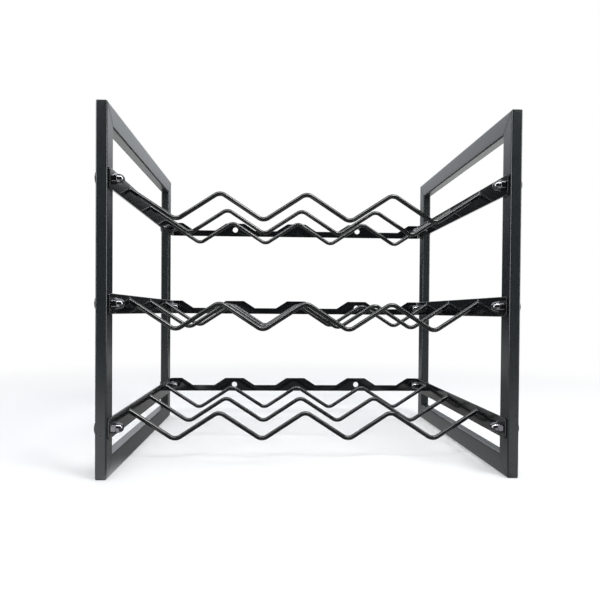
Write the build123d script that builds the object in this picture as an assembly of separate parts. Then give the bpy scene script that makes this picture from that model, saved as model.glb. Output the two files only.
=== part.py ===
from build123d import *

import os
from math import atan, cos, degrees, sin, tan

# Counter-top wine rack: two mitred tube side frames carry three bolt-in shelves.
# Each shelf is a flat bar bent to a U, with zigzag wires welded between its straps.
# Millimetres. X runs to the right, Y to the back and Z up.
# The origin is on the floor, in the middle of the rack's width and depth.

# Side frames
frame_height = 360.0
frame_depth = 325.0
frame_gap = 388.0
tube_width = 11.0
tube_depth = 20.0
tube_wall = 1.0
tube_corner_radius = 1.5

# Shelf heights, measured to the middle of a shelf's band
shelf_names = ("bottom", "middle", "top")
lowest_shelf_height = 48.0
highest_shelf_drop = 72.0

# Shelf bands
band_height = 20.0
band_thickness = 2.0
band_bend_radius = 4.0
band_end_margin = 7.0
band_end_chamfer = 1.5

# Wavy top edge of the back plate
bottle_pitch = 95.0
crest_width = 28.0
trough_depth = 11.0
wave_corner_radius = 4.0
wall_hole_diameter = 8.0

# Zigzag wires
wire_names = ("front", "middle", "rear")
wire_diameter = 5.0
wire_rise = 31.0
wire_valley_drop = 27.5
wire_end_lift = 4.8
wire_bend_radius = 10.0
front_wire_setback = 75.0
rear_wire_setback = 50.0

# Flat sides that stand for a round bar, and chords that stand for a bend or a dome
wire_sides = 10
wire_bend_chords = 3
fastener_sides = 10
dome_chords = 2

# Shelf bolts
bolt_diameter = 6.0
bolt_hole_clearance = 0.4
bolt_engagement = 7.0
head_overhang = 3.25
head_rim_height = 1.9
head_crown_height = 0.8

# Acorn nuts
nut_thread_clearance = 0.2
nut_bore_end_gap = 1.0
nut_crown_thickness = 4.0
nut_dome_wall = 1.65
nut_hex_step = 0.25
nut_hex_height = 5.5
hexagon_turn = 30.0
nut_bend_gap = 1.0

# Fastener sizes that follow
bolt_hole_radius = (bolt_diameter + bolt_hole_clearance) / 2
head_radius = bolt_diameter / 2 + head_overhang
shank_length = tube_width + band_thickness + bolt_engagement
nut_bore_radius = (bolt_diameter + nut_thread_clearance) / 2
nut_bore_depth = bolt_engagement + nut_bore_end_gap
nut_dome_radius = nut_bore_radius + nut_dome_wall
nut_flat_radius = nut_dome_radius + nut_hex_step
nut_height = nut_bore_depth + nut_crown_thickness

# Places across the depth
rear_bolt_depth = frame_depth - tube_depth / 2
plate_front_depth = rear_bolt_depth + nut_flat_radius + nut_bend_gap + band_bend_radius
plate_back_depth = plate_front_depth + band_thickness
rack_depth = max(frame_depth, plate_back_depth)
front_y = -rack_depth / 2
front_bolt_y = front_y + tube_depth / 2
rear_bolt_y = front_y + rear_bolt_depth
plate_front_y = front_y + plate_front_depth
plate_back_y = front_y + plate_back_depth
band_front_y = front_bolt_y - band_end_margin
front_wire_y = front_y + front_wire_setback
rear_wire_y = plate_front_y - rear_wire_setback
wire_step = (rear_wire_y - front_wire_y) / (len(wire_names) - 1)
wire_ys = [front_wire_y + i * wire_step for i in range(len(wire_names))]

# Places across the width
frame_inner_x = frame_gap / 2
frame_outer_x = frame_inner_x + tube_width
clear_x = frame_outer_x + tube_width
strap_inner_x = frame_inner_x - band_thickness
bay_count = int(2 * strap_inner_x // bottle_pitch)
bay_xs = [(i - (bay_count - 1) / 2) * bottle_pitch for i in range(bay_count)]
wall_hole_xs = (bay_xs[0] + bottle_pitch / 2, bay_xs[-1] - bottle_pitch / 2)
wire_slope = atan(wire_rise / (bottle_pitch / 2))

# Places up the height
shelf_rise = frame_height - highest_shelf_drop - lowest_shelf_height
shelf_step = shelf_rise / (len(shelf_names) - 1)
shelf_heights = [lowest_shelf_height + i * shelf_step for i in range(len(shelf_names))]


def disc(radius, x, y=0, z=0):
    """Cross-section of a bolt, dome or bolt hole, square to X."""
    return Plane.YZ.offset(x) * Pos(y, z) * RegularPolygon(radius, fastener_sides)


def bolt_hole(x_from, x_to, y, z):
    """Cutter for a bolt hole along X."""
    return extrude(disc(bolt_hole_radius, x_from, y, z), x_to - x_from)


def tube_section():
    """Hollow rectangular tube section with rounded corners, centred on the tube's axis."""
    outer = RectangleRounded(tube_width, tube_depth, tube_corner_radius)
    return outer - Rectangle(tube_width - 2 * tube_wall, tube_depth - 2 * tube_wall)


def mitred(tube, outline):
    """Keeps the part of a tube inside an outline of (depth, height) points in the frame's plane."""
    points = [(front_y + depth, height) for depth, height in outline]
    face = Plane.YZ * make_face(Polyline(*points, close=True))
    return tube & extrude(face, clear_x, both=True)


def post(side, rear):
    """Upright tube of a side frame, mitred at both ends and drilled for the shelf bolts."""
    middle_x = side * (frame_inner_x + tube_width / 2)
    middle_y = rear_bolt_y if rear else front_bolt_y
    tube = extrude(Pos(middle_x, middle_y, 0) * tube_section(), frame_height)
    near, far = (frame_depth, frame_depth - tube_depth) if rear else (0, tube_depth)
    outline = [
        (near, 0),
        (far, tube_depth),
        (far, frame_height - tube_depth),
        (near, frame_height),
    ]
    tube = mitred(tube, outline)
    for height in shelf_heights:
        tube -= bolt_hole(0, side * clear_x, middle_y, height)
    return tube


def rail(side, top):
    """Level tube of a side frame, mitred into the posts at both ends."""
    middle_x = side * (frame_inner_x + tube_width / 2)
    middle_z = frame_height - tube_depth / 2 if top else tube_depth / 2
    plane = Plane((middle_x, front_y, middle_z), x_dir=(1, 0, 0), z_dir=(0, 1, 0))
    tube = extrude(plane * tube_section(), frame_depth)
    near, far = (frame_height, frame_height - tube_depth) if top else (0, tube_depth)
    outline = [
        (0, near),
        (tube_depth, far),
        (frame_depth - tube_depth, far),
        (frame_depth, near),
    ]
    return mitred(tube, outline)


def u_outline(half_width, back_y, corner_radius):
    """Plan of a U that is open to the front, with rounded rear corners."""
    corners = [
        (-half_width, band_front_y),
        (-half_width, back_y),
        (half_width, back_y),
        (half_width, band_front_y),
    ]
    path = FilletPolyline(*corners, radius=corner_radius)
    return make_face([*path.edges(), Line(corners[-1], corners[0])])


def wave_outline(middle_z):
    """Elevation of the back plate: level bottom edge and a top edge with a dip for each bottle."""
    top = middle_z + band_height / 2
    bottom = middle_z - band_height / 2
    flank = trough_depth / tan(wire_slope)
    mouth = (bottle_pitch - crest_width) / 2
    points = [(-frame_inner_x, top)]
    for x in bay_xs:
        points += [
            (x - mouth, top),
            (x - mouth + flank, top - trough_depth),
            (x + mouth - flank, top - trough_depth),
            (x + mouth, top),
        ]
    points.append((frame_inner_x, top))
    wave = FilletPolyline(*points, radius=wave_corner_radius)
    rest = Polyline(points[-1], (frame_inner_x, bottom), (-frame_inner_x, bottom), points[0])
    return make_face([*wave.edges(), *rest.edges()])


def band(middle_z):
    """Flat bar bent to a U: two straps bolted to the side frames and a wavy back plate."""
    outer = u_outline(frame_inner_x, plate_back_y, band_bend_radius + band_thickness)
    inner = u_outline(strap_inner_x, plate_front_y, band_bend_radius)
    bar = extrude(Pos(0, 0, middle_z - band_height / 2) * (outer - inner), band_height)
    elevation = Plane((0, front_y, 0), x_dir=(1, 0, 0), z_dir=(0, -1, 0)) * wave_outline(middle_z)
    bar &= extrude(elevation, -rack_depth)
    end_corners = bar.edges().filter_by(Axis.X).group_by(Axis.Y)[0]
    bar = chamfer(end_corners, band_end_chamfer)
    for y in (front_bolt_y, rear_bolt_y):
        bar -= bolt_hole(-clear_x, clear_x, y, middle_z)
    for x in wall_hole_xs:
        hole = Plane((x, plate_back_y, middle_z), x_dir=(1, 0, 0), z_dir=(0, -1, 0))
        bar -= extrude(hole * Circle(wall_hole_diameter / 2), 2 * band_thickness, both=True)
    return bar


def wire(y, middle_z):
    """Round bar bent to a zigzag with a valley for each bottle, welded to the straps' inner faces."""
    valley_z = middle_z - wire_valley_drop
    bends = []
    for x in bay_xs:
        bends += [(x, y, valley_z), (x + bottle_pitch / 2, y, valley_z + wire_rise)]
    bends.pop()
    end_slope = (wire_valley_drop + wire_end_lift) / (strap_inner_x - bay_xs[-1])
    end_z = valley_z + end_slope * (clear_x - bay_xs[-1])
    line = FilletPolyline((-clear_x, y, end_z), *bends, (clear_x, y, end_z), radius=wire_bend_radius)
    points = [line @ 0]
    for edge in line.edges():
        chords = wire_bend_chords if edge.geom_type == GeomType.CIRCLE else 1
        points += [edge @ ((i + 1) / chords) for i in range(chords)]
    path = Polyline(*points)
    section = Plane(path @ 0, z_dir=path % 0) * RegularPolygon(wire_diameter / 2, wire_sides)
    bar = sweep(section, path, transition=Transition.RIGHT)
    between_straps = Box(2 * strap_inner_x, 2 * wire_diameter, 2 * frame_height)
    return bar & (Pos(0, y, middle_z) * between_straps)


def domed(radius, neck, crown):
    """Round stud along +X from the origin: straight up to its neck, then a crown that is part of a ball."""
    ball_radius = (radius**2 + crown**2) / (2 * crown)
    ball_x = neck + crown - ball_radius
    rim_angle = 2 * atan(crown / radius)
    sections = [disc(radius, 0)]
    for i in range(dome_chords):
        angle = rim_angle * (1 - i / dome_chords)
        sections.append(disc(ball_radius * sin(angle), ball_x + ball_radius * cos(angle)))
    faces = [section.face() for section in sections]
    return loft([*faces, Vertex(neck + crown, 0, 0)], ruled=True)


def shelf_bolt():
    """Round-headed bolt along +X, with the underside of its head at the origin."""
    head = Rot(0, 0, 180) * domed(head_radius, head_rim_height, head_crown_height)
    return head + extrude(disc(bolt_diameter / 2, 0), shank_length)


def acorn_nut():
    """Acorn nut along +X, with its seat at the origin and a blind bore for the bolt."""
    hexagon = RegularPolygon(nut_flat_radius, 6, major_radius=False, rotation=hexagon_turn)
    base = extrude(Plane.YZ * hexagon, nut_hex_height)
    dome = domed(nut_dome_radius, nut_height - nut_dome_radius, nut_dome_radius)
    return base + dome - extrude(disc(nut_bore_radius, 0), nut_bore_depth)


def at_each_bolt(fastener, seat_x):
    """Copies of a fastener at every shelf bolt of both side frames, pointing inwards."""
    copies = []
    for side, turn in ((-1, 0), (1, 180)):
        for height in shelf_heights:
            for y in (front_bolt_y, rear_bolt_y):
                copies.append(Pos(side * seat_x, y, height) * Rot(0, 0, turn) * fastener)
    return Compound(copies)


nodes = {}
for side, side_name in ((-1, "left"), (1, "right")):
    nodes[f"{side_name}_front_post"] = post(side, rear=False)
    nodes[f"{side_name}_rear_post"] = post(side, rear=True)
    nodes[f"{side_name}_top_rail"] = rail(side, top=True)
    nodes[f"{side_name}_bottom_rail"] = rail(side, top=False)
for shelf_name, shelf_height in zip(shelf_names, shelf_heights):
    nodes[f"{shelf_name}_shelf_band"] = band(shelf_height)
    for wire_name, wire_y in zip(wire_names, wire_ys):
        nodes[f"{shelf_name}_shelf_{wire_name}_wire"] = wire(wire_y, shelf_height)
nodes["shelf_bolts"] = at_each_bolt(shelf_bolt(), frame_outer_x)
nodes["acorn_nuts"] = at_each_bolt(acorn_nut(), strap_inner_x)

os.makedirs("parts", exist_ok=True)
for name, solid in nodes.items():
    export_step(solid, f"parts/{name}.step")
print("wire slope", round(degrees(wire_slope), 1), "bays", bay_count, "nodes", len(nodes))
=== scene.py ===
"""Looks of a counter-top wine rack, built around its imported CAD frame.

Two mitred tube side frames carry three shelves. A shelf is a flat bar bent to a U, with a wave cut
in the top edge of its back plate and three zigzag rods welded between its straps. Round-headed
bolts and acorn nuts hold the shelves in the frames. Metres, Z up, the rack's front towards -Y.
"""

import logging
from dataclasses import dataclass, field
from enum import Enum
from itertools import product
from math import pi, radians, tan
from typing import Any, Optional, Union

import bmesh
import bpy
import numpy as np
from mathutils import Matrix, Vector
from numpy.typing import ArrayLike


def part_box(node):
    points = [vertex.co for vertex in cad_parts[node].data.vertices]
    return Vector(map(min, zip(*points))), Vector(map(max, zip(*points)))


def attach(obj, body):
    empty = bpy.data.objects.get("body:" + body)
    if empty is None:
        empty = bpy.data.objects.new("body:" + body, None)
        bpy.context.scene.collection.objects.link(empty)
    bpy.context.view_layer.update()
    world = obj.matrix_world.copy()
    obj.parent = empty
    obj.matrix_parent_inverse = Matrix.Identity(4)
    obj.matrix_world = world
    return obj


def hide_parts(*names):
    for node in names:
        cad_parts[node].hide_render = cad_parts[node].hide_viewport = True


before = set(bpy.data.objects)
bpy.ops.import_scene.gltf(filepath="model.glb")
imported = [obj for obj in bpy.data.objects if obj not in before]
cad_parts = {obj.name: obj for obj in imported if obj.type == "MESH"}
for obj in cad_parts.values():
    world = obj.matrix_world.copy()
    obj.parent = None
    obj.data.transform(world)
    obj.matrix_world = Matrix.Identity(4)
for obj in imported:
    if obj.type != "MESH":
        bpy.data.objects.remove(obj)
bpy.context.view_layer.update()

log = logging.getLogger("wine_rack")

MM = 0.001
BODY = "root"
# Points nearer to each other than this are merged, and no rounding comes down to it
WELD_DISTANCE = 0.001 * MM
LEAST_ROUND = 10 * WELD_DISTANCE
# Radius of the rings at the poles of a turned piece, which merge to a point
POLE_RADIUS = 0.0001 * MM
# Number of a section that lies in no hole's window
NO_WINDOW = -1
WHITE = (1.0, 1.0, 1.0, 1.0)
RIGHT, BACK, UP = Vector((1, 0, 0)), Vector((0, 1, 0)), Vector((0, 0, 1))

Colour = tuple[float, float, float]
Place = tuple[float, float, float]


class Side(Enum):
    """A side of the rack, with the sign of its X."""

    LEFT = -1
    RIGHT = 1

    @property
    def label(self) -> str:
        """The side's name as the nodes spell it."""
        return self.name.lower()


class Tier(Enum):
    """A shelf, by its height."""

    BOTTOM = "bottom"
    MIDDLE = "middle"
    TOP = "top"


class Row(Enum):
    """A zigzag rod of a shelf, by its place from the front."""

    FRONT = "front"
    MIDDLE = "middle"
    REAR = "rear"


class Mark(Enum):
    """Point attributes that the finishes read."""

    EDGE = "edge"
    SEAM = "seam"


# Meshes


@dataclass
class Shell:
    """Points, faces and marks of one piece, gathered grid by grid."""

    points: list[np.ndarray] = field(default_factory=list)
    faces: list[list[int]] = field(default_factory=list)
    marks: dict[Mark, list[np.ndarray]] = field(
        default_factory=lambda: {mark: [] for mark in Mark}
    )
    count: int = 0

    def add(
        self,
        points: np.ndarray,
        wrap: tuple[bool, bool] = (False, True),
        keep: Optional[np.ndarray] = None,
        edge: ArrayLike = 0.0,
        seam: ArrayLike = 0.0,
    ) -> np.ndarray:
        """Adds a grid of points, with a quad between each four neighbours.

        Args:
            points: Grid of shape (rows, columns, 3).
            wrap: Whether the last row and the last column join the first.
            keep: Quads to make, where some are left out.
            edge: How much each point belongs to a rounded edge, from 0 to 1.
            seam: How much each point belongs to a weld, from 0 to 1.

        Returns:
            The points' numbers in the shell, of shape (rows, columns).
        """
        rows, columns = points.shape[:2]
        index = self.count + np.arange(rows * columns).reshape(rows, columns)
        ring = np.vstack([index, index[:1]]) if wrap[0] else index
        ring = np.hstack([ring, ring[:, :1]]) if wrap[1] else ring
        quads = np.stack([ring[:-1, :-1], ring[1:, :-1], ring[1:, 1:], ring[:-1, 1:]], axis=-1)
        chosen = quads.reshape(-1, 4) if keep is None else quads[keep]
        self.points.append(points.reshape(-1, 3))
        self.faces.extend(chosen.tolist())
        for mark, value in ((Mark.EDGE, edge), (Mark.SEAM, seam)):
            self.marks[mark].append(np.broadcast_to(value, (rows, columns)).ravel())
        self.count += rows * columns
        return index

    def cap(self, ring: np.ndarray) -> None:
        """Closes a ring of points with one face."""
        self.faces.append(ring.tolist())

    def piece(
        self, name: str, material: bpy.types.Material, slot: str, node: str
    ) -> bpy.types.Object:
        """Makes the shell an object that stands for a CAD node.

        Args:
            name: Name of the piece.
            material: Its finish.
            slot: The record's material slot, which is not used.
            node: The CAD node that it stands for.

        Returns:
            The finished object, riding on the rack.
        """
        mesh = bpy.data.meshes.new(name)
        mesh.from_pydata(np.concatenate(self.points), [], self.faces)
        for mark, values in self.marks.items():
            attribute = mesh.attributes.new(mark.value, "FLOAT", "POINT")
            attribute.data.foreach_set("value", np.concatenate(values).astype(np.float32))
        self._close(mesh)
        mesh.shade_smooth()
        mesh.materials.append(material)
        piece = bpy.data.objects.new(name, mesh)
        bpy.context.scene.collection.objects.link(piece)
        even = piece.modifiers.new("even_flats", "WEIGHTED_NORMAL")
        even.mode = "FACE_AREA"
        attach(piece, BODY)
        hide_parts(node)
        return piece

    @staticmethod
    def _close(mesh: bpy.types.Mesh) -> None:
        """Merges the points that grids share, and turns every face outwards.

        Args:
            mesh: The mesh to close.
        """
        work = bmesh.new()
        work.from_mesh(mesh)
        bmesh.ops.remove_doubles(work, verts=work.verts, dist=WELD_DISTANCE)
        bmesh.ops.recalc_face_normals(work, faces=work.faces)
        work.to_mesh(mesh)
        work.free()


def rounded_path(corners: np.ndarray, radius: float, chords: int) -> tuple[np.ndarray, np.ndarray]:
    """Line through corner points, with an arc at each inner corner.

    An arc starts one tangent length before its corner. A point on it is the start plus radius times
    (sin a) along the first run plus radius times (1 - cos a) to the side that the line turns to,
    where a goes from zero to the turn between the two runs.

    Args:
        corners: Corner points, of shape (count, dimensions).
        radius: Radius of every arc.
        chords: Straight steps in each arc.

    Returns:
        The points of the line and its unit tangents there.
    """
    runs = np.diff(corners, axis=0)
    runs = runs / np.linalg.norm(runs, axis=1, keepdims=True)
    before, after = runs[:-1], runs[1:]
    turn = np.arccos(np.sum(before * after, axis=1))
    aside = after - before * np.cos(turn)[:, None]
    aside = aside / np.linalg.norm(aside, axis=1, keepdims=True)
    start = corners[1:-1] - before * (radius * np.tan(turn / 2))[:, None]
    angle = (turn[:, None] * np.linspace(0, 1, chords + 1))[..., None]
    before, aside = before[:, None], aside[:, None]
    arcs = start[:, None] + radius * (np.sin(angle) * before + (1 - np.cos(angle)) * aside)
    along = np.cos(angle) * before + np.sin(angle) * aside
    size = corners.shape[1]
    points = np.concatenate([corners[:1], arcs.reshape(-1, size), corners[-1:]])
    tangents = np.concatenate([runs[:1], along.reshape(-1, size), runs[-1:]])
    return points, tangents


@dataclass(frozen=True)
class BarOutline:
    """Closed outline of a bar's section: a rectangle with round corners.

    Across the bar, a point lies at side * (half_width - radius) + radius * normal. Up the bar, it
    lies at low + radius + share * (high - low - 2 * radius) + radius * normal.
    """

    side: np.ndarray
    share: np.ndarray
    normal: np.ndarray
    edge: np.ndarray

    @classmethod
    def with_face_rows(cls, shares: np.ndarray, chords: int) -> "BarOutline":
        """Outline with extra points on its two side faces.

        Args:
            shares: Where those points lie on the flat of a side face, from 0 to 1.
            chords: Straight steps in each corner.

        Returns:
            The outline, counter-clockwise from the low end of the right-hand face.
        """
        quarter = np.linspace(0, pi / 2, chords + 1)
        face, corner = np.ones(len(shares)), np.ones(len(quarter))
        angle = np.concatenate(
            [0 * face, quarter, quarter + pi / 2, pi * face, quarter + pi, quarter + 3 * pi / 2]
        )
        return cls(
            side=np.concatenate([face, corner, -corner, -face, -corner, corner]),
            share=np.concatenate([shares, corner, corner, shares[::-1], 0 * corner, 0 * corner]),
            normal=np.stack([np.cos(angle), np.sin(angle)], axis=-1),
            edge=np.abs(np.sin(2 * angle)),
        )

    def points(
        self, half_width: ArrayLike, low: ArrayLike, high: ArrayLike, radius: ArrayLike
    ) -> np.ndarray:
        """Points of the outline for each section along a bar.

        Args:
            half_width: Half of the bar's width, one value for each section.
            low: Lower edge of each section.
            high: Upper edge of each section.
            radius: Corner radius of each section.

        Returns:
            Points (across, up) of shape (sections, outline points, 2).
        """
        sizes = np.broadcast_arrays(half_width, low, high, radius)
        half_width, low, high, radius = (size[:, None] for size in sizes)
        across = self.side * (half_width - radius) + radius * self.normal[:, 0]
        up = low + radius + self.share * (high - low - 2 * radius) + radius * self.normal[:, 1]
        return np.stack([across, up], axis=-1)

    def between_rows(self, shares: np.ndarray) -> np.ndarray:
        """Marks the outline steps on a side face between the first and the last of some rows."""
        inside = (self.share >= shares[0]) & (self.share <= shares[-1])
        return inside & np.roll(inside, -1) & (self.side == np.roll(self.side, -1))


def outside_windows(windows: np.ndarray, between: np.ndarray, closed: bool) -> np.ndarray:
    """Marks the quads of a bar that are made, which are those outside its holes' windows.

    Args:
        windows: Number of the window that each section lies in, or NO_WINDOW.
        between: Outline steps that lie within the windows' rows.
        closed: Whether the last section joins the first.

    Returns:
        True for each quad to make, of shape (section steps, outline steps).
    """
    following = np.roll(windows, -1)
    inside = (windows == following) & (windows != NO_WINDOW)
    steps = inside if closed else inside[:-1]
    return ~(steps[:, None] & between[None, :])


def hole_lining(
    us: np.ndarray, vs: np.ndarray, radius: float, lip: float, top: float, bottom: float
) -> np.ndarray:
    """Surface from a rectangular window on one face, through a round hole, to the other face's.

    Rings run round the hole. The first and last are the windows' own grid points, and the rings
    between are circles in the same directions from the middle, with a small lip at both rims.

    Args:
        us: Grid places along the window, about the hole.
        vs: Grid places up the window, about the hole.
        radius: Radius of the hole.
        lip: Width and depth of the broken edge.
        top: Height of the first face.
        bottom: Height of the second face.

    Returns:
        Points (u, v, height) of shape (rings, points in a ring, 3).
    """
    sides, ends = np.ones(len(us) - 1), np.ones(len(vs) - 1)
    window = np.stack(
        [
            np.concatenate([us[:-1], us[-1] * ends, us[:0:-1], us[0] * ends]),
            np.concatenate([vs[0] * sides, vs[:-1], vs[-1] * sides, vs[:0:-1]]),
        ],
        axis=-1,
    )
    rim = window / np.linalg.norm(window, axis=1, keepdims=True)
    wide, narrow = (radius + lip) * rim, radius * rim
    flat = np.stack([window, wide, narrow, narrow, wide, window])
    heights = np.array([top, top, top - lip, bottom + lip, bottom, bottom])
    return np.dstack([flat, np.broadcast_to(heights[:, None], flat.shape[:2])])


def placed(local: np.ndarray, origin: Vector, axes: tuple[Vector, Vector, Vector]) -> np.ndarray:
    """Moves points from a local frame to the rack's frame."""
    return np.array(origin) + local @ np.array(axes)


def hexagon_radius(angle: np.ndarray, sharpness: float) -> np.ndarray:
    """Radius of a hexagon with slightly round corners, whose flats lie 1 from its middle.

    The distances to the six flats are joined as a high power mean: one divided by the sharpness-th
    root of the summed powers of each positive cosine to a flat.

    Args:
        angle: Directions.
        sharpness: Power of the mean, which is higher for sharper corners.

    Returns:
        The radius in each direction.
    """
    flats = np.arange(6) * pi / 3
    facing = np.maximum(np.cos(angle[..., None] - flats), 0.0)
    return np.sum(facing**sharpness, axis=-1) ** (-1 / sharpness)


# Shader maths


class Value:
    """A shader socket in a Python expression, where each operator adds the Math node it needs."""

    def __init__(self, graph: "Graph", socket: Optional[bpy.types.NodeSocket]) -> None:
        """Keeps the graph and the socket, which a node that ends a tree lacks."""
        self.graph = graph
        self.socket = socket

    def _math(self, operation: str, *terms: Any) -> "Value":
        """Adds a Math node on some terms."""
        return self.graph.add("ShaderNodeMath", {"operation": operation}, dict(enumerate(terms)))

    def __add__(self, other: Any) -> "Value":
        """This value plus another."""
        return self._math("ADD", self, other)

    def __radd__(self, other: Any) -> "Value":
        """Another value plus this one."""
        return self._math("ADD", other, self)

    def __sub__(self, other: Any) -> "Value":
        """This value less another."""
        return self._math("SUBTRACT", self, other)

    def __rsub__(self, other: Any) -> "Value":
        """Another value less this one."""
        return self._math("SUBTRACT", other, self)

    def __mul__(self, other: Any) -> "Value":
        """This value times another."""
        return self._math("MULTIPLY", self, other)

    def __rmul__(self, other: Any) -> "Value":
        """Another value times this one."""
        return self._math("MULTIPLY", other, self)

    def __abs__(self) -> "Value":
        """Size without the sign."""
        return self._math("ABSOLUTE", self)

    def centred(self) -> "Value":
        """A value from 0 to 1, moved to lie about zero."""
        return self - 0.5

    def ramp(self, low: float, high: float) -> "Value":
        """Goes smoothly from 0 to 1 as this value rises.

        Args:
            low: Value up to which it is 0.
            high: Value from which it is 1.

        Returns:
            The step.
        """
        return self.graph.add(
            "ShaderNodeMapRange",
            {"interpolation_type": "SMOOTHSTEP"},
            {"Value": self, "From Min": low, "From Max": high},
        )


class Graph:
    """Node tree of a material or of the world."""

    # Places of the colour sockets on a Mix node
    MIX_A, MIX_B, MIX_RESULT = 6, 7, 2

    def __init__(self, tree: bpy.types.NodeTree) -> None:
        """Empties the tree."""
        self.tree = tree
        tree.nodes.clear()

    def add(
        self,
        kind: str,
        settings: Optional[dict[str, Any]] = None,
        sockets: Optional[dict[Union[str, int], Any]] = None,
        output: Union[str, int] = 0,
    ) -> Value:
        """Adds a node.

        Args:
            kind: Blender's name of the node's type.
            settings: Properties, which are set first.
            sockets: Values or links of the input sockets, by name or place.
            output: The output socket to hand back.

        Returns:
            That output as a value for expressions.
        """
        node = self.tree.nodes.new(kind)
        for name, setting in (settings or {}).items():
            setattr(node, name, setting)
        for name, value in (sockets or {}).items():
            if isinstance(value, Value):
                self.tree.links.new(value.socket, node.inputs[name])
            else:
                node.inputs[name].default_value = value
        return Value(self, node.outputs[output] if node.outputs else None)

    def place(self) -> Value:
        """The point's place on the rack."""
        return self.add("ShaderNodeTexCoord", output="Object")

    def noise(
        self, place: Value, grain: float, detail: float = 2.0, roughness: float = 0.5
    ) -> Value:
        """Soft noise from 0 to 1, with grains of about a given size.

        Args:
            place: Where the noise is read.
            grain: Size of a grain.
            detail: Finer layers that are added.
            roughness: Strength of the finer layers.

        Returns:
            The noise.
        """
        return self.add(
            "ShaderNodeTexNoise",
            {},
            {"Vector": place, "Scale": 1 / grain, "Detail": detail, "Roughness": roughness},
        )

    def parts(self, vector: Value) -> tuple[Value, ...]:
        """The X, Y and Z of a vector."""
        node = self.add("ShaderNodeSeparateXYZ", {}, {0: vector}).socket.node
        return tuple(Value(self, output) for output in node.outputs)

    def mark(self, mark: Mark) -> Value:
        """A point attribute of the piece."""
        return self.add("ShaderNodeAttribute", {"attribute_name": mark.value}, output="Fac")

    def mix(self, share: Value, first: Colour, second: Colour) -> Value:
        """Mixes two colours.

        Args:
            share: How much of the second colour there is, from 0 to 1.
            first: Colour at a share of 0.
            second: Colour at a share of 1.

        Returns:
            The mixed colour.
        """
        return self.add(
            "ShaderNodeMix",
            {"data_type": "RGBA"},
            {"Factor": share, self.MIX_A: (*first, 1.0), self.MIX_B: (*second, 1.0)},
            self.MIX_RESULT,
        )

    def bump(self, height: Value, depth: float, under: Optional[Value] = None) -> Value:
        """Normal of a surface whose height varies by up to a depth, over another bump if given."""
        base = {"Normal": under} if under else {}
        return self.add("ShaderNodeBump", {}, {"Height": height, "Distance": depth, **base})

    def surface(self, **sockets: Any) -> None:
        """Ends the tree in a Principled shader.

        Args:
            **sockets: Its sockets, with underscores for the spaces in their names.
        """
        named = {name.replace("_", " "): value for name, value in sockets.items()}
        shader = self.add("ShaderNodeBsdfPrincipled", {}, named)
        self.add("ShaderNodeOutputMaterial", {}, {"Surface": shader})


def new_material(name: str) -> tuple[bpy.types.Material, Graph]:
    """Makes a node material.

    Args:
        name: Name of the finish.

    Returns:
        The material and its empty node tree.
    """
    material = bpy.data.materials.new(name)
    material.use_nodes = True
    return material, Graph(material.node_tree)


# Finishes


@dataclass(frozen=True)
class PowderCoat:
    """Satin charcoal powder coat of the side frames, with a fine grain over ground welds."""

    slot: str = "frame_coat"
    dark: Colour = (0.0106, 0.0143, 0.0159)
    light: Colour = (0.0170, 0.0217, 0.0238)
    ior: float = 1.5
    roughness: float = 0.28
    roughness_spread: float = 0.03
    edge_polish: float = 0.08
    weld_dullness: float = 0.06
    grain: float = 1.1 * MM
    grain_depth: float = 0.0015 * MM
    grain_tone: float = 0.2
    mottle: float = 18 * MM
    mottle_tone: float = 0.5
    edge_tone: float = 0.3
    weld_grain: float = 2.2 * MM
    weld_depth: float = 0.05 * MM
    weld_tone: float = 0.2

    def material(self) -> bpy.types.Material:
        """Builds the finish: cured grain all over, a rougher patch at welds and thin coat on edges.

        Returns:
            The material.
        """
        material, graph = new_material(self.slot)
        place = graph.place()
        grain = graph.noise(place, self.grain, detail=3.0, roughness=0.6)
        mottle = graph.noise(place, self.mottle, detail=4.0)
        weld, edge = graph.mark(Mark.SEAM), graph.mark(Mark.EDGE)
        ground = weld * graph.noise(place, self.weld_grain)
        tone = mottle * self.mottle_tone + grain * self.grain_tone
        tone = tone + edge * self.edge_tone - weld * self.weld_tone
        rough = self.roughness + grain.centred() * self.roughness_spread
        rough = rough + mottle.centred() * self.roughness_spread
        graph.surface(
            Base_Color=graph.mix(tone, self.dark, self.light),
            Roughness=rough - edge * self.edge_polish + weld * self.weld_dullness,
            Normal=graph.bump(grain, self.grain_depth, graph.bump(ground, self.weld_depth)),
            IOR=self.ior,
        )
        return material


@dataclass(frozen=True)
class GlossPaint:
    """Gloss black stove paint of the shelves, with a faint orange peel."""

    slot: str
    dark: Colour = (0.0030, 0.0033, 0.0038)
    light: Colour = (0.0080, 0.0088, 0.0098)
    ior: float = 1.52
    roughness: float = 0.10
    roughness_spread: float = 0.06
    edge_dullness: float = 0.05
    peel: float = 3.2 * MM
    peel_depth: float = 0.002 * MM
    peel_tone: float = 0.2
    haze: float = 30 * MM
    haze_tone: float = 0.6
    edge_tone: float = 0.4

    def material(self) -> bpy.types.Material:
        """Builds the finish: orange peel in the gloss, haze in the sheen and thin paint on edges.

        Returns:
            The material.
        """
        material, graph = new_material(self.slot)
        place = graph.place()
        peel = graph.noise(place, self.peel)
        haze = graph.noise(place, self.haze, detail=3.0)
        edge = graph.mark(Mark.EDGE)
        tone = haze * self.haze_tone + peel * self.peel_tone + edge * self.edge_tone
        rough = self.roughness + haze.centred() * self.roughness_spread
        graph.surface(
            Base_Color=graph.mix(tone, self.dark, self.light),
            Roughness=rough + edge * self.edge_dullness,
            Normal=graph.bump(peel, self.peel_depth),
            IOR=self.ior,
        )
        return material


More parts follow.
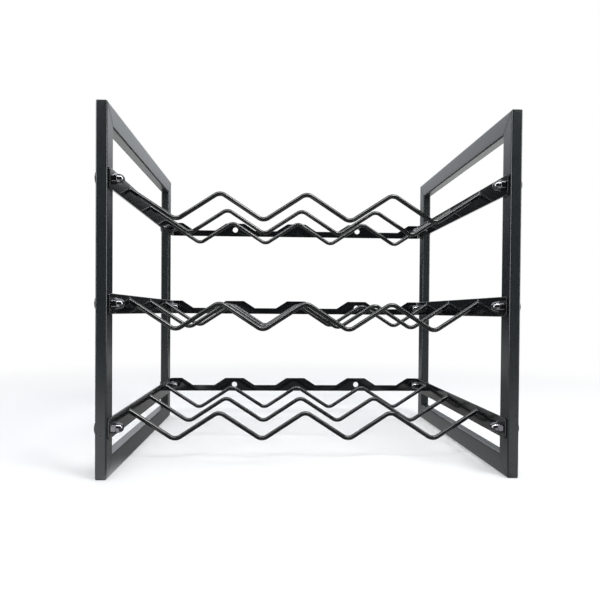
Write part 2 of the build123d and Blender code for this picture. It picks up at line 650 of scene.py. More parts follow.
@dataclass(frozen=True)
class PlatedMetal:
    """Plated or blackened metal of the fasteners, with fine polishing marks."""

    slot: str
    dark: Colour
    light: Colour
    metallic: float
    roughness: float
    roughness_spread: float = 0.08
    marks: float = 0.5 * MM
    marks_depth: float = 0.004 * MM
    marks_tone: float = 0.2
    stain: float = 4 * MM
    stain_tone: float = 0.8

    def material(self) -> bpy.types.Material:
        """Builds the finish: faint stains in the plating and polishing marks in its gloss.

        Returns:
            The material.
        """
        material, graph = new_material(self.slot)
        place = graph.place()
        marks = graph.noise(place, self.marks, detail=3.0, roughness=0.65)
        stain = graph.noise(place, self.stain, detail=3.0)
        tone = stain * self.stain_tone + marks * self.marks_tone
        rough = self.roughness + marks.centred() * self.roughness_spread
        graph.surface(
            Base_Color=graph.mix(tone, self.dark, self.light),
            Metallic=self.metallic,
            Roughness=rough + stain.centred() * self.roughness_spread,
            Normal=graph.bump(marks, self.marks_depth),
        )
        return material


# Sub-assemblies


@dataclass(frozen=True)
class TubeStock:
    """Rectangular steel tube that the side frames are made of."""

    width: float
    depth: float
    wall: float = 1 * MM
    corner_radius: float = 1.5 * MM
    corner_chords: int = 6
    hole_radius: float = 3.2 * MM
    hole_lip: float = 0.1 * MM
    window: float = 6 * MM
    window_steps: int = 8
    # Rings near a mitre: distance from the cut, depth of the ground weld below the face, its mark
    seam_rings: tuple[tuple[float, float, float], ...] = (
        (0.0, 0.16 * MM, 1.0),
        (0.20 * MM, 0.06 * MM, 0.95),
        (0.50 * MM, 0.0, 0.7),
        (2.5 * MM, 0.0, 0.4),
        (7.0 * MM, 0.0, 0.0),
    )


@dataclass(frozen=True)
class SideFrame:
    """Upright rectangle of four mitred tubes, drilled for the shelf bolts."""

    side: Side
    finish: bpy.types.Material
    slot: str
    bolt_heights: tuple[float, ...]

    @property
    def stock(self) -> TubeStock:
        """The tube, as wide and deep as the front post."""
        low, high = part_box(f"{self.side.label}_front_post")
        return TubeStock(high.x - low.x, high.y - low.y)

    def build(self) -> list[bpy.types.Object]:
        """Builds the frame.

        Returns:
            The two posts and the two rails.
        """
        name = self.side.label
        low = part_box(f"{name}_front_post")[0]
        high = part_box(f"{name}_rear_post")[1]
        middle_x = (low.x + high.x) / 2
        front, rear = Vector((middle_x, low.y, low.z)), Vector((middle_x, high.y, low.z))
        top = Vector((middle_x, low.y, high.z))
        height, depth = high.z - low.z, high.y - low.y
        return [
            self._tube(f"{name}_front_post", front, UP, BACK, height, self.bolt_heights),
            self._tube(f"{name}_rear_post", rear, UP, -BACK, height, self.bolt_heights),
            self._tube(f"{name}_bottom_rail", front, BACK, UP, depth),
            self._tube(f"{name}_top_rail", top, BACK, -UP, depth),
        ]

    def _tube(
        self,
        node: str,
        start: Vector,
        along: Vector,
        inward: Vector,
        length: float,
        holes: tuple[float, ...] = (),
    ) -> bpy.types.Object:
        """Builds a hollow tube with a mitre at both ends.

        The section's outline is carried along the tube. A point's place along it is an offset plus
        a slope times its depth from the frame's outside, where the slope is 1 at the first mitre, 0
        at the holes and -1 at the last mitre.

        Args:
            node: The CAD node that the tube stands for.
            start: Outer corner where the tube begins, in the middle of its width.
            along: Direction of the tube.
            inward: Direction from the frame's outside to its inside.
            length: Length of the tube's outside.
            holes: Places of the bolt holes along the tube.

        Returns:
            The tube.
        """
        stock = self.stock
        places = np.linspace(-stock.window, stock.window, stock.window_steps + 1)
        flat = stock.depth - 2 * stock.corner_radius
        shares = (places + flat / 2) / flat
        outline = BarOutline.with_face_rows(shares, stock.corner_chords)
        ring = self._rings(length, places, holes)
        section = outline.points(
            stock.width / 2 - ring["sink"],
            ring["sink"],
            stock.depth - ring["sink"],
            stock.corner_radius - ring["sink"],
        )
        reach = ring["offset"][:, None] + ring["slope"][:, None] * section[..., 1]
        shell = Shell()
        shell.add(
            placed(np.dstack([section, reach]), start, (RIGHT, inward, along)),
            wrap=(True, True),
            keep=outside_windows(ring["window"], outline.between_rows(shares), closed=True),
            edge=outline.edge,
            seam=ring["seam"][:, None],
        )
        half = stock.width / 2
        lining = hole_lining(
            places, places, stock.hole_radius, stock.hole_lip, half, half - stock.wall
        )
        for hole in holes:
            centre = start + along * hole + inward * (stock.depth / 2)
            for out in (-RIGHT, RIGHT):
                shell.add(placed(lining, centre, (along, inward, out)))
        return shell.piece(f"{node}_tube", self.finish, self.slot, node)

    def _rings(
        self, length: float, places: np.ndarray, holes: tuple[float, ...]
    ) -> dict[str, np.ndarray]:
        """Sets out the rings of a tube: the outside's go out, and the bore's come back.

        Args:
            length: Length of the tube's outside.
            places: Grid places along a hole's window, about the hole.
            holes: Places of the bolt holes along the tube.

        Returns:
            Each ring's offset along the tube, slope, depth below the outside, weld and window.
        """
        distance, sink, seam = (np.array(column) for column in zip(*self.stock.seam_rings))
        stations = np.array([hole + places for hole in holes]).ravel()
        numbers = np.repeat(np.arange(len(holes)), len(places))
        one, none = np.ones(len(distance)), np.zeros(len(stations))
        nowhere = np.full(len(distance), NO_WINDOW)
        outside = {
            "offset": np.concatenate([distance, stations, (length - distance)[::-1]]),
            "slope": np.concatenate([one, none, -one]),
            "sink": np.concatenate([sink, none, sink[::-1]]),
            "seam": np.concatenate([seam, none, seam[::-1]]),
            "window": np.concatenate([nowhere, numbers, nowhere]),
        }
        bore = {
            "offset": np.concatenate([[length], stations[::-1], [0.0]]),
            "slope": np.concatenate([[-1.0], none, [1.0]]),
            "sink": np.full(len(stations) + 2, self.stock.wall),
            "seam": np.zeros(len(stations) + 2),
            "window": np.concatenate([[NO_WINDOW], numbers[::-1], [NO_WINDOW]]),
        }
        return {name: np.concatenate([outside[name], bore[name]]) for name in outside}


@dataclass(frozen=True)
class BandStock:
    """Flat bar of a shelf, its bends, its wave and its holes."""

    thickness: float
    bend_radius: float = 4 * MM
    bend_chords: int = 12
    edge_radius: float = 0.45 * MM
    edge_chords: int = 4
    end_chamfer: float = 1.5 * MM
    bay_pitch: float = 95 * MM
    bay_count: int = 4
    crest_width: float = 28 * MM
    trough_depth: float = 11 * MM
    wave_radius: float = 4 * MM
    wave_chords: int = 10
    wall_hole_radius: float = 4 * MM
    bolt_hole_radius: float = 3.2 * MM
    hole_lip: float = 0.3 * MM
    wall_window: float = 8 * MM
    bolt_window: float = 3.45 * MM
    window_height: float = 6 * MM
    window_steps: int = 10

    @property
    def bays(self) -> np.ndarray:
        """Middle of each bay across the rack."""
        return (np.arange(self.bay_count) - (self.bay_count - 1) / 2) * self.bay_pitch

    @property
    def wall_hole(self) -> float:
        """Distance of a wall hole from the rack's middle."""
        return self.bays[-1] - self.bay_pitch / 2

    def grid(self, reach: float) -> np.ndarray:
        """Grid places across a window that reaches so far from its hole."""
        return np.linspace(-reach, reach, self.window_steps + 1)


@dataclass(frozen=True)
class BandPlan:
    """Stations along a band's middle line, seen from above.

    A station has a point (x, y), an outward normal, the number of the window that it lies in, and
    how far the rounding of the band's end draws it in.
    """

    points: np.ndarray
    normals: np.ndarray
    windows: np.ndarray
    inset: np.ndarray

    def mirrored(self) -> "BandPlan":
        """Adds the right half to a left half that ends in the rack's middle.

        Returns:
            The whole line.
        """
        flip = np.array([-1.0, 1.0])
        return BandPlan(
            points=np.concatenate([self.points, self.points[-2::-1] * flip]),
            normals=np.concatenate([self.normals, self.normals[-2::-1] * flip]),
            windows=np.concatenate([self.windows, self.windows[-2::-1]]),
            inset=np.concatenate([self.inset, self.inset[-2::-1]]),
        )


@dataclass(frozen=True)
class RodStock:
    """Round bar of a zigzag rod, its bends and the welds at its ends."""

    diameter: float = 5 * MM
    sides: int = 28
    rise: float = 31 * MM
    valley_drop: float = 27.5 * MM
    end_lift: float = 4.8 * MM
    bend_radius: float = 10 * MM
    bend_chords: int = 16
    weld_fillet: float = 1.3 * MM
    weld_lobes: int = 3
    weld_unevenness: float = 0.18
    lean_length: float = 5 * MM
    # Distances of the rings near an end from the strap
    end_stations: tuple[float, ...] = tuple(
        gap * MM for gap in (0.0, 0.12, 0.3, 0.55, 0.85, 1.3, 2.0, 3.2, 5.0)
    )


@dataclass(frozen=True)
class Shelf:
    """Bent flat bar with a wavy back plate, and three zigzag rods welded between its straps."""

    name: str
    band_finish: bpy.types.Material
    rod_finish: bpy.types.Material
    band_slot: str
    rod_slot: str
    bolt_places: tuple[float, ...]
    rod: RodStock = RodStock()

    @property
    def band(self) -> BandStock:
        """The flat bar, which is as thick as the straps reach past the rods."""
        return BandStock(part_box(self.node)[1].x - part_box(f"{self.name}_shelf_front_wire")[1].x)

    @property
    def node(self) -> str:
        """The CAD node of the shelf's band."""
        return f"{self.name}_shelf_band"

    @property
    def height(self) -> float:
        """Height of the middle of the band."""
        low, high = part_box(self.node)
        return (low.z + high.z) / 2

    @property
    def slope(self) -> float:
        """Steepness of the rods and of the wave's flanks."""
        return self.rod.rise / (self.band.bay_pitch / 2)

    def build(self) -> list[bpy.types.Object]:
        """Builds the band and its rods."""
        rods = [self._rod(row.value, number) for number, row in enumerate(Row)]
        return [self._band(), *rods]

    def _wave(self, half_width: float, top: float) -> np.ndarray:
        """Top edge of the back plate: level crests, sloping flanks and a level floor in each bay.

        Args:
            half_width: Half of the plate's width.
            top: Height of the crests.

        Returns:
            Points (x, z) along the edge, with arcs at the corners.
        """
        band = self.band
        flank = band.trough_depth / self.slope
        mouth = (band.bay_pitch - band.crest_width) / 2
        across = np.array([-mouth, flank - mouth, mouth - flank, mouth])
        down = np.array([0.0, band.trough_depth, band.trough_depth, 0.0])
        x = (band.bays[:, None] + across).ravel()
        z = top - np.tile(down, band.bay_count)
        ends = np.array([[-half_width, top], [half_width, top]])
        corners = np.concatenate([ends[:1], np.stack([x, z], axis=-1), ends[1:]])
        return rounded_path(corners, band.wave_radius, band.wave_chords)[0]

    def _half_plan(self, low: Vector, high: Vector) -> BandPlan:
        """Sets out the left half of the band, from its front end to the rack's middle.

        The strap is a straight run, the bend a quarter circle, and the plate a straight run with a
        station at each point of its wave.

        Args:
            low: Lowest corner of the band.
            high: Highest corner of the band.

        Returns:
            The stations.
        """
        band, holes = self.band, len(self.bolt_places)
        centre_x = low.x + band.thickness + band.bend_radius
        centre_y = high.y - band.thickness - band.bend_radius
        bolt = band.grid(band.bolt_window)
        wall = band.grid(band.wall_window) - band.wall_hole

        quarter = np.linspace(0, pi / 2, band.edge_chords + 1)
        end_y = low.y + band.edge_radius * (1 - np.cos(quarter))
        end_inset = band.edge_radius * (1 - np.sin(quarter))
        bolts_y = [bolt + y for y in self.bolt_places]
        strap_y = np.concatenate([end_y, [low.y + band.end_chamfer], *bolts_y])
        strap = np.stack([np.full(len(strap_y), low.x + band.thickness / 2), strap_y], axis=-1)
        at_end = np.full(len(end_y) + 1, NO_WINDOW)

        turn = np.linspace(0, pi / 2, band.bend_chords + 1)
        bend_normal = np.stack([-np.cos(turn), np.sin(turn)], axis=-1)
        bend = (centre_x, centre_y) + (band.bend_radius + band.thickness / 2) * bend_normal

        wave_x = self._wave(high.x, high.z)[:, 0]
        wave_x = wave_x[(wave_x > centre_x) & (wave_x < 0)]
        plate_x = np.sort(np.concatenate([wave_x, wall, [0.0]]))
        plate_y = np.full(len(plate_x), high.y - band.thickness / 2)
        plate = np.stack([plate_x, plate_y], axis=-1)

        facing_left = np.tile([-1.0, 0.0], (len(strap), 1))
        facing_back = np.tile([0.0, 1.0], (len(plate), 1))
        at_bolts = np.repeat(np.arange(holes), len(bolt))
        at_bend = np.full(len(bend), NO_WINDOW)
        at_wall = np.where(np.isin(plate_x, wall), holes, NO_WINDOW)
        not_drawn_in = np.zeros(len(strap) + len(bend) + len(plate) - len(end_inset))
        return BandPlan(
            points=np.concatenate([strap, bend, plate]),
            normals=np.concatenate([facing_left, bend_normal, facing_back]),
            windows=np.concatenate([at_end, at_bolts, at_bend, at_wall]),
            inset=np.concatenate([end_inset, not_drawn_in]),
        )

    def _band(self) -> bpy.types.Object:
        """Builds the bent bar: its outline is carried along the U, and its top follows the wave.

        Returns:
            The band.
        """
        band = self.band
        low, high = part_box(self.node)
        plan = self._half_plan(low, high).mirrored()
        x, y = plan.points.T
        on_plate = plan.normals[:, 1] == 1.0
        wave_x, wave_z = self._wave(high.x, high.z).T
        top = np.where(on_plate, np.interp(x, wave_x, wave_z), high.z)
        chamfer = np.maximum(low.y + band.end_chamfer - y, 0.0)

        rows = band.grid(band.window_height)
        flat = high.z - low.z - 2 * band.edge_radius
        shares = (rows + flat / 2) / flat
        outline = BarOutline.with_face_rows(shares, band.edge_chords)
        section = outline.points(
            band.thickness / 2 - plan.inset,
            low.z + chamfer + plan.inset,
            top - chamfer - plan.inset,
            np.maximum(band.edge_radius - plan.inset, LEAST_ROUND),
        )
        across, up = section[..., :1], section[..., 1]
        shell = Shell()
        index = shell.add(
            np.dstack([plan.points[:, None] + across * plan.normals[:, None], up]),
            keep=outside_windows(plan.windows, outline.between_rows(shares), closed=False),
            edge=outline.edge,
        )
        shell.cap(index[0])
        shell.cap(index[-1])
        self._band_holes(shell, high, rows)
        return shell.piece(f"{self.name}_shelf_bar", self.band_finish, self.band_slot, self.node)

    def _band_holes(self, shell: Shell, high: Vector, rows: np.ndarray) -> None:
        """Lines the bolt holes in the straps and the wall holes in the plate.

        Args:
            shell: The band's shell.
            high: Highest corner of the band.
            rows: Grid places up the holes' windows.
        """
        band, half = self.band, self.band.thickness / 2
        bolt, wall = band.grid(band.bolt_window), band.grid(band.wall_window)
        bolt_lining = hole_lining(bolt, rows, band.bolt_hole_radius, LEAST_ROUND, half, -half)
        wall_lining = hole_lining(wall, rows, band.wall_hole_radius, band.hole_lip, half, -half)
        for side in Side:
            for y in self.bolt_places:
                centre = Vector((side.value * (high.x - half), y, self.height))
                shell.add(placed(bolt_lining, centre, (BACK, UP, side.value * RIGHT)))
            centre = Vector((side.value * band.wall_hole, high.y - half, self.height))
            shell.add(placed(wall_lining, centre, (RIGHT, UP, BACK)))

    def _zigzag(self, left: float, right: float) -> tuple[np.ndarray, np.ndarray]:
        """Sets out a rod's middle line: a valley in each bay, a peak between two, an arc at each.

        Args:
            left: Where it meets the left strap.
            right: Where it meets the right strap.

        Returns:
            Its points (x, z) and its unit tangents there.
        """
        rod, bays = self.rod, self.band.bays
        peaks = (bays[1:] + bays[:-1]) / 2
        x = np.sort(np.concatenate([bays, peaks]))
        z = self.height - rod.valley_drop + rod.rise * np.isin(x, peaks)
        end_z = self.height + rod.end_lift
        corners = np.stack([[left, *x, right], [end_z, *z, end_z]], axis=-1)
        return rounded_path(corners, rod.bend_radius, rod.bend_chords)

    def _rod(self, name: str, number: int) -> bpy.types.Object:
        """Builds a zigzag rod, with a weld fillet where it meets each strap.

        A circle is carried along the zigzag. Near an end it grows by a concave fillet,
        fillet - sqrt(fillet^2 - (fillet - distance)^2), with a few lobes, and it leans until it
        lies flat on the strap.

        Args:
            name: Which rod of the shelf it is.
            number: Its number from the front.

        Returns:
            The rod.
        """
        rod = self.rod
        node = f"{self.name}_shelf_{name}_wire"
        low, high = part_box(node)
        path, tangent = self._zigzag(low.x, high.x)

        gap = np.array(rod.end_stations)[:, None]
        first, last = tangent[:1], tangent[-1:]
        left_end, right_end = path[:1] + gap * first, path[-1:] - gap[::-1] * last
        centre = np.concatenate([left_end, path[1:-1], right_end])
        ends = np.ones_like(gap)
        along = np.concatenate([ends * first, tangent[1:-1], ends * last])
        far = np.full((len(path) - 2, 1), rod.lean_length)
        distance = np.concatenate([gap, far, gap[::-1]])

        turn = np.linspace(0, 2 * pi, rod.sides, endpoint=False)
        left = np.maximum(rod.weld_fillet - distance, 0.0)
        fillet = rod.weld_fillet - np.sqrt(rod.weld_fillet**2 - left**2)
        lobes = 1 + rod.weld_unevenness * np.sin(rod.weld_lobes * turn + number + self.height / MM)
        radius = rod.diameter / 2 + fillet * lobes
        normal = np.stack([-along[:, 1], along[:, 0]], axis=-1)
        offset = (radius * np.sin(turn))[..., None] * normal[:, None]
        lean = np.maximum(1 - distance / rod.lean_length, 0.0)
        slide = -lean * offset[..., 0] / along[:, :1]
        flat = centre[:, None] + offset + slide[..., None] * along[:, None]
        y = (low.y + high.y) / 2 + radius * np.cos(turn)
        points = np.stack([flat[..., 0], y, flat[..., 1]], axis=-1)

        shell = Shell()
        index = shell.add(points, seam=np.clip(1 - distance / (2 * rod.weld_fillet), 0, 1))
        shell.cap(index[0])
        shell.cap(index[-1])
        return shell.piece(f"{self.name}_shelf_{name}_rod", self.rod_finish, self.rod_slot, node)


@dataclass(frozen=True)
class Fastener:
    """Sizes that the bolts and nuts share."""

    steps: int = 72
    hexagon_sharpness: float = 60.0
    blend_sharpness: float = 90.0

    def turned(self, rows: np.ndarray) -> np.ndarray:
        """Carries a profile round an axis, cut to a hexagon where a row has one.

        In each direction the radius is the smaller of the row's circle and its hexagon, joined
        softly: the sum of both radii to a high negative power, to the root of that power.

        Args:
            rows: Place along the axis, radius of the circle and apothem of the hexagon of each row.

        Returns:
            Points (along, across, up) of shape (rows, steps, 3).
        """
        along, circle, apothem = (column[:, None] for column in rows.T)
        turn = np.linspace(0, 2 * pi, self.steps, endpoint=False)
        hexagon = apothem * hexagon_radius(turn, self.hexagon_sharpness)
        circle = np.maximum(circle, POLE_RADIUS)
        smaller = np.minimum(circle, hexagon)
        power = -self.blend_sharpness
        powers = (circle / smaller) ** power + (hexagon / smaller) ** power
        radius = np.where(np.isinf(hexagon), circle, smaller * powers ** (1 / power))
        along = np.broadcast_to(along, radius.shape)
        return np.stack([along, radius * np.cos(turn), radius * np.sin(turn)], axis=-1)


def hexagons(along: ArrayLike, circle: ArrayLike, apothem: float) -> np.ndarray:
    """Profile rows of hexagons whose corners are cut by circles."""
    along, circle = np.broadcast_arrays(np.atleast_1d(along), np.atleast_1d(circle))
    return np.stack([along, circle, np.full(along.shape, apothem)], axis=-1)


def circles(along: ArrayLike, radius: ArrayLike) -> np.ndarray:
    """Profile rows of plain circles."""
    return hexagons(along, radius, np.inf)


@dataclass(frozen=True)
class BoltStock(Fastener):
    """Bolt with a low round head and a hexagon socket."""

    shank_radius: float = 3 * MM
    shank_length: float = 20 * MM
    tip_chamfer: float = 0.6 * MM
    head_radius: float = 6.25 * MM
    rim_height: float = 1.9 * MM
    crown_height: float = 0.8 * MM
    rim_round: float = 0.5 * MM
    round_chords: int = 5
    crown_chords: int = 10
    socket_apothem: float = 2.0 * MM
    socket_mouth: float = 2.55 * MM
    socket_depth: float = 2.3 * MM
    socket_point: float = 0.7 * MM
    socket_chamfer: float = 0.3 * MM
    floor_step: float = 0.05 * MM
    floor_share: float = 0.97

    def profile(self) -> np.ndarray:
        """Rows from the tip of the shank, over the head, to the bottom of the socket.

        The crown is part of a ball through the rim and the top of the head.

        Returns:
            Profile rows, along the bolt from the underside of its head.
        """
        head, top = self.head_radius, self.rim_height + self.crown_height
        ball = (head**2 + self.crown_height**2) / (2 * self.crown_height)
        quarter = np.linspace(0, pi / 2, self.round_chords + 1)
        crown_radius = np.linspace(head - self.rim_round, self.socket_mouth, self.crown_chords)
        crown = -(top - ball + np.sqrt(ball**2 - crown_radius**2))
        brow = crown[0] + self.rim_round
        floor = self.socket_depth - top
        tip, shank, mouth = self.tip_chamfer, self.shank_radius, self.socket_mouth
        flats, rim = self.socket_apothem, self.rim_round
        sine, versine = rim * np.sin(quarter), rim * (1 - np.cos(quarter))
        return np.concatenate(
            [
                circles(self.shank_length, [0.0, shank - tip]),
                circles([self.shank_length - tip, 0.0], shank),
                circles(-versine, head - rim * (1 - np.sin(quarter))),
                circles(brow - sine[:-1], head - versine[:-1]),
                circles(crown, crown_radius),
                hexagons([crown[-1] + self.socket_chamfer, floor], mouth, flats),
                hexagons(floor + self.floor_step, mouth, self.floor_share * flats),
                circles(floor + self.socket_point, 0.0),
            ]
        )


@dataclass(frozen=True)
class NutStock(Fastener):
    """Acorn nut with a chamfered hexagon and a round dome."""

    bore_radius: float = 3.1 * MM
    bore_depth: float = 8 * MM
    bore_mouth: float = 3.5 * MM
    apothem: float = 5 * MM
    hexagon_height: float = 5.5 * MM
    face_radius: float = 4.82 * MM
    chamfer_height: float = 0.6 * MM
    chamfer_angle: float = radians(30)
    chamfer_rows: int = 9
    dome_radius: float = 4.75 * MM
    height: float = 12 * MM
    dome_chords: int = 14

    def profile(self) -> np.ndarray:
        """Rows from the bottom of the bore, round the seat and the hexagon, to the top of the dome.

        Both ends of the hexagon are cut by a cone, and the dome is half a ball.

        Returns:
            Profile rows, along the nut from its seat.
        """
        rise = np.linspace(0, self.chamfer_height, self.chamfer_rows)
        cone = self.face_radius + rise / tan(self.chamfer_angle)
        quarter = np.linspace(0, pi / 2, self.dome_chords + 1)
        return np.concatenate(
            [
                circles(self.bore_depth, [0.0, self.bore_radius]),
                circles(
                    [self.bore_mouth - self.bore_radius, 0.0], [self.bore_radius, self.bore_mouth]
                ),
                hexagons(rise, cone, self.apothem),
                hexagons(self.hexagon_height - rise[::-1], cone[::-1], self.apothem),
                circles(self.hexagon_height, self.dome_radius),
                circles(
                    self.height - self.dome_radius * (1 - np.sin(quarter)),
                    self.dome_radius * np.cos(quarter),
                ),
            ]
        )


@dataclass(frozen=True)
class Fasteners:
    """Bolts and acorn nuts that hold the shelves in the side frames."""

    heights: tuple[float, ...]
    depths: tuple[float, ...]
    frame_outer: float
    strap_inner: float
    bolt_finish: bpy.types.Material
    nut_finish: bpy.types.Material
    bolt_slot: str
    nut_slot: str
    bolt: BoltStock = BoltStock()
    nut: NutStock = NutStock()

    def build(self) -> list[bpy.types.Object]:
        """Builds the fasteners.

        Returns:
            The set of bolts and the set of nuts.
        """
        bolts = self._at_each_place(self.bolt.turned(self.bolt.profile()), self.frame_outer)
        nuts = self._at_each_place(self.nut.turned(self.nut.profile()), self.strap_inner)
        return [
            bolts.piece("shelf_bolt_set", self.bolt_finish, self.bolt_slot, "shelf_bolts"),
            nuts.piece("acorn_nut_set", self.nut_finish, self.nut_slot, "acorn_nuts"),
        ]

    def _at_each_place(self, points: np.ndarray, seat: float) -> Shell:
        """Copies a fastener to each bolt of both frames, pointing inwards.

        Args:
            points: Points (along, across, up) of one fastener.
            seat: Distance of its seat from the rack's middle.

        Returns:
            A shell with all copies.
        """
        shell = Shell()
        along, across, up = np.moveaxis(points, -1, 0)
        for side, height, depth in product(Side, self.heights, self.depths):
            x = side.value * (seat - along)
            shell.add(np.stack([x, depth + across, height + up], axis=-1))
        return shell


# Studio


@dataclass(frozen=True)
class PhotoCamera:
    """Camera at the viewing angle of the picture, found by fitting points of the frame."""

    place: Place = (-0.0382, -0.6816, 0.1611)
    yaw: float = -0.0415
    pitch: float = -0.0132
    roll: float = 0.0075
    focal_pixels: float = 540.2
    middle_pixel: tuple[float, float] = (293.8, 319.3)
    image_pixels: float = 600.0
    sensor_width: float = 36.0
    clip: tuple[float, float] = (0.01, 100.0)

    def build(self) -> None:
        """Makes the camera and hands it to the scene."""
        data = bpy.data.cameras.new("photo_camera")
        data.sensor_width = self.sensor_width
        data.lens = self.focal_pixels / self.image_pixels * self.sensor_width
        data.shift_x = 0.5 - self.middle_pixel[0] / self.image_pixels
        data.shift_y = self.middle_pixel[1] / self.image_pixels - 0.5
        data.clip_start, data.clip_end = self.clip
        camera = bpy.data.objects.new("photo_camera", data)
        turn = Matrix.Rotation(self.yaw, 4, "Z") @ Matrix.Rotation(pi / 2 + self.pitch, 4, "X")
        roll = Matrix.Rotation(self.roll, 4, "Z")
        camera.matrix_world = Matrix.Translation(self.place) @ turn @ roll
        bpy.context.scene.collection.objects.link(camera)
        bpy.context.scene.camera = camera


@dataclass(frozen=True)
class SoftBox:
    """Rectangular studio lamp that faces a point, and which may show in gloss only."""

    name: str
    place: Place
    target: Place
    size: tuple[float, float]
    power: float
    gloss_only: bool = False

    @classmethod
    def sheet(cls, name: str, place: Place, size: tuple[float, float], power: float) -> "SoftBox":
        """Lamp that lies flat, faces up and shows in gloss only."""
        return cls(name, place, (*place[:2], 1.0), size, power, gloss_only=True)

    def build(self) -> None:
        """Makes the lamp."""
        data = bpy.data.lights.new(self.name, "AREA")
        data.shape = "RECTANGLE"
        data.size, data.size_y = self.size
        data.energy = self.power
        lamp = bpy.data.objects.new(self.name, data)
        lamp.location = self.place
        aim = Vector(self.target) - Vector(self.place)
        lamp.rotation_euler = aim.to_track_quat("-Z", "Y").to_euler()
        lamp.visible_diffuse = not self.gloss_only
        lamp.visible_camera = False
        bpy.context.scene.collection.objects.link(lamp)


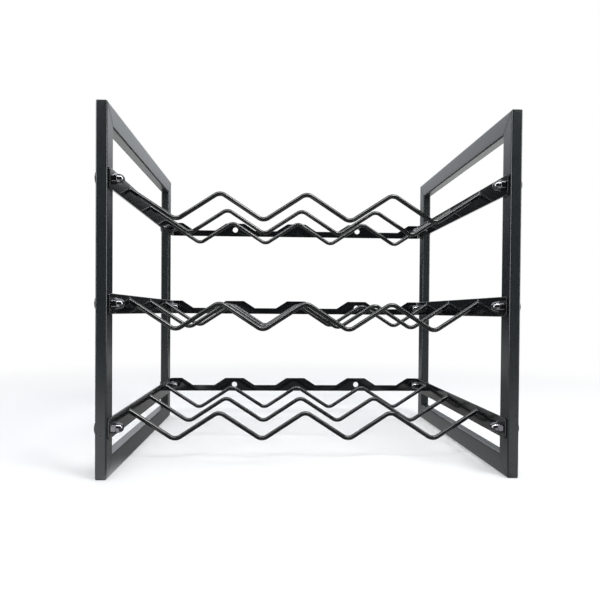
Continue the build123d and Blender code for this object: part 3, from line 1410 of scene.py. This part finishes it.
@dataclass(frozen=True)
class Studio:
    """Plain pale floor, white surroundings and soft lamps.

    The camera sees a white floor and white behind it. Gloss sees a glowing card in the floor's
    place, dimmer under the rack as painted shade beneath the shelves and lighter by the rails as
    painted light, and a room that is bright behind the rack, from a line that rises to both sides.
    """

    # Floor sheet, and the distances over which it fades to white
    floor_radius: float = 1.4
    floor_first_ring: float = 0.02
    floor_drop: float = 0.2 * MM
    floor_rings: int = 24
    floor_steps: int = 96
    floor_tone: float = 0.93
    floor_glow: float = 0.22
    floor_fade: tuple[float, float] = (0.45, 1.2)
    # Card: its glow levels near and far, the near one dimmer as painted shade under the shelves,
    # and the distances between which it changes
    card_levels: tuple[float, float] = (0.30, 0.45)
    card_fade: tuple[float, float] = (0.22, 0.55)
    # Painted light on the card, which the rails' inner faces reflect: a light patch by the left
    # rail's front end,
    # and a faint strip along the right rail: how much lighter each is, and the places across and
    # along between which it sets in and ends
    patch_gain: float = 1.2
    patch_across: tuple[float, float] = (-0.172, -0.196)
    patch_edge: tuple[float, float] = (-0.206, -0.197)
    patch_along: tuple[float, float] = (-0.06, -0.165)
    patch_front: tuple[float, float] = (-0.185, -0.165)
    strip_gain: float = 0.2
    strip_across: tuple[float, float] = (0.145, 0.165)
    strip_edge: tuple[float, float] = (0.206, 0.197)
    # Room: levels behind, in front and above, and the parts of a direction where each sets in
    room_colour: Colour = (0.82, 0.85, 0.885)
    back_level: float = 1.75
    back_turn: tuple[float, float] = (-0.3, 0.5)
    back_rise: tuple[float, float] = (0.059, 0.109)
    back_slant: float = 0.5
    back_shift: float = 0.043
    front_level: float = 0.05
    top_level: float = 0.45
    top_rise: tuple[float, float] = (0.5, 0.9)
    lamps: tuple[SoftBox, ...] = (
        SoftBox("key_softbox", (0.42, -0.55, 1.25), (0.0, 0.0, 0.15), (0.36, 0.28), 6.5),
        SoftBox("front_strip", (0.0, -0.90, 1.05), (0.0, 0.0, 0.15), (2.20, 0.07), 6.0),
        SoftBox("gloss_panel", (0.0, -0.72, 1.18), (0.0, 0.0, 0.15), (3.20, 0.20), 36.0, True),
        SoftBox("left_strip", (-1.30, -0.55, 0.45), (0.0, 0.0, 0.18), (0.12, 1.00), 3.5),
        SoftBox("right_strip", (1.30, -0.35, 0.45), (0.0, 0.0, 0.18), (0.12, 1.00), 3.5),
        SoftBox("left_panel", (-1.60, -0.60, 0.55), (0.0, 0.0, 0.18), (1.00, 1.10), 20.0, True),
        SoftBox("right_panel", (1.60, -0.60, 0.55), (0.0, 0.0, 0.18), (1.00, 1.10), 20.0, True),
        SoftBox.sheet("left_bounce", (-0.62, 1.05, 0.02), (0.60, 1.00), 2.1),
        SoftBox.sheet("right_bounce", (0.62, 1.05, 0.02), (0.60, 1.00), 2.6),
        SoftBox.sheet("left_apron", (-0.30, -0.365, 0.001), (0.24, 0.41), 0.44),
        SoftBox.sheet("right_apron", (0.32, -0.365, 0.001), (0.24, 0.41), 0.27),
    )
    camera: PhotoCamera = PhotoCamera()

    def build(self) -> None:
        """Sets up the floor, the surroundings, the lamps and the camera."""
        bpy.context.scene.view_settings.view_transform = "Standard"
        self._floor()
        self._card()
        self._surroundings()
        for lamp in self.lamps:
            lamp.build()
        self.camera.build()

    def _floor(self) -> None:
        """Makes the pale floor, which fades to white."""
        floor, graph = self._disc("floor")
        tone = (self.floor_tone, self.floor_tone, self.floor_tone, 1.0)
        paper = graph.add("ShaderNodeBsdfDiffuse", {}, {"Color": tone})
        glow = graph.add("ShaderNodeEmission", {}, {"Color": WHITE})
        fade = self._distance(graph).ramp(*self.floor_fade)
        share = self.floor_glow + fade * (1 - self.floor_glow)
        ground = graph.add("ShaderNodeMixShader", {}, {"Fac": share, 1: paper, 2: glow})
        graph.add("ShaderNodeOutputMaterial", {}, {"Surface": ground})
        floor.visible_glossy = False

    def _card(self) -> None:
        """Makes the glowing card that stands for the floor in reflections: dimmer near the middle
        as painted shade under the shelves, with painted light by the rails.
        """
        card, graph = self._disc("floor_card")
        near, far = self.card_levels
        across, deep, _ = graph.parts(graph.place())
        # Painted light: a lighter patch by the left rail's front end and a faint strip along the
        # right rail, seen in the rails' inner faces
        patch = across.ramp(*self.patch_across) * across.ramp(*self.patch_edge)
        patch = patch * deep.ramp(*self.patch_along) * deep.ramp(*self.patch_front)
        strip = across.ramp(*self.strip_across) * across.ramp(*self.strip_edge)
        # Painted shade: the card's glow is dimmer near the middle, under the shelves
        level = near + self._distance(graph).ramp(*self.card_fade) * (far - near)
        level = level + patch * self.patch_gain + strip * self.strip_gain
        glow = graph.add("ShaderNodeEmission", {}, {"Color": level})
        graph.add("ShaderNodeOutputMaterial", {}, {"Surface": glow})
        card.visible_camera = card.visible_diffuse = card.visible_shadow = False

    def _disc(self, name: str) -> tuple[bpy.types.Object, Graph]:
        """Makes a round sheet on the floor, as rings about the origin.

        Args:
            name: Name of the sheet.

        Returns:
            The sheet and the empty node tree of its material.
        """
        rings = np.geomspace(self.floor_first_ring, self.floor_radius, self.floor_rings)[:, None]
        turn = np.linspace(0, 2 * pi, self.floor_steps, endpoint=False)
        level = np.full((self.floor_rings, self.floor_steps), -self.floor_drop)
        shell = Shell()
        index = shell.add(np.dstack([rings * np.cos(turn), rings * np.sin(turn), level]))
        shell.cap(index[0])
        mesh = bpy.data.meshes.new(name)
        mesh.from_pydata(np.concatenate(shell.points), [], shell.faces)
        material, graph = new_material(name)
        mesh.materials.append(material)
        sheet = bpy.data.objects.new(name, mesh)
        bpy.context.scene.collection.objects.link(sheet)
        return sheet, graph

    @staticmethod
    def _distance(graph: Graph) -> Value:
        """Distance of a point from the rack's middle."""
        place = graph.place()
        return graph.add("ShaderNodeVectorMath", {"operation": "LENGTH"}, {0: place}, "Value")

    def _surroundings(self) -> None:
        """Makes a world that is white to the camera, and a room to gloss and light."""
        world = bpy.data.worlds.new("studio")
        world.use_nodes = True
        bpy.context.scene.world = world
        graph = Graph(world.node_tree)
        direction = graph.add("ShaderNodeTexCoord", output="Generated")
        across, deep, up = graph.parts(direction)
        rise = up - abs(across + self.back_shift) * self.back_slant
        back = deep.ramp(*self.back_turn) * rise.ramp(*self.back_rise)
        top = up.ramp(*self.top_rise) * (1 - back)
        gain = self.back_level - self.front_level
        level = self.front_level + back * gain + top * self.top_level
        colour = (*self.room_colour, 1.0)
        room = graph.add("ShaderNodeBackground", {}, {"Color": colour, "Strength": level})
        white = graph.add("ShaderNodeBackground", {}, {"Color": WHITE})
        seen = graph.add("ShaderNodeLightPath", output="Is Camera Ray")
        both = graph.add("ShaderNodeMixShader", {}, {"Fac": seen, 1: room, 2: white})
        graph.add("ShaderNodeOutputWorld", {}, {"Surface": both})


def main() -> None:
    """Builds the studio, the side frames, the shelves and the fasteners."""
    logging.basicConfig(level=logging.INFO, format="%(message)s")
    Studio().build()
    frame_coat = PowderCoat()
    band_coat = GlossPaint("band_coat")
    rod_coat = GlossPaint("wire_coat", roughness=0.09)
    bolt_coat = PlatedMetal(
        "bolt_coat",
        dark=(0.012, 0.012, 0.013),
        light=(0.03, 0.03, 0.032),
        metallic=0.0,
        roughness=0.28,
    )
    nut_plating = PlatedMetal(
        "nut_plating",
        dark=(0.10, 0.10, 0.105),
        light=(0.17, 0.17, 0.18),
        metallic=1.0,
        roughness=0.12,
    )
    band_finish, rod_finish = band_coat.material(), rod_coat.material()
    frame_finish = frame_coat.material()

    bands = [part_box(f"{tier.value}_shelf_band") for tier in Tier]
    heights = tuple((low.z + high.z) / 2 for low, high in bands)
    posts = [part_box(f"left_{place}_post") for place in ("front", "rear")]
    depths = tuple((low.y + high.y) / 2 for low, high in posts)
    frames = [SideFrame(side, frame_finish, frame_coat.slot, heights) for side in Side]
    shelves = [
        Shelf(tier.value, band_finish, rod_finish, band_coat.slot, rod_coat.slot, depths)
        for tier in Tier
    ]
    fasteners = Fasteners(
        heights=heights,
        depths=depths,
        frame_outer=-posts[0][0].x,
        strap_inner=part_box("bottom_shelf_front_wire")[1].x,
        bolt_finish=bolt_coat.material(),
        nut_finish=nut_plating.material(),
        bolt_slot=bolt_coat.slot,
        nut_slot=nut_plating.slot,
    )
    for assembly in (*frames, *shelves, fasteners):
        for piece in assembly.build():
            log.info("%s: %d faces", piece.name, len(piece.data.polygons))


if __name__ == "__main__":
    main()
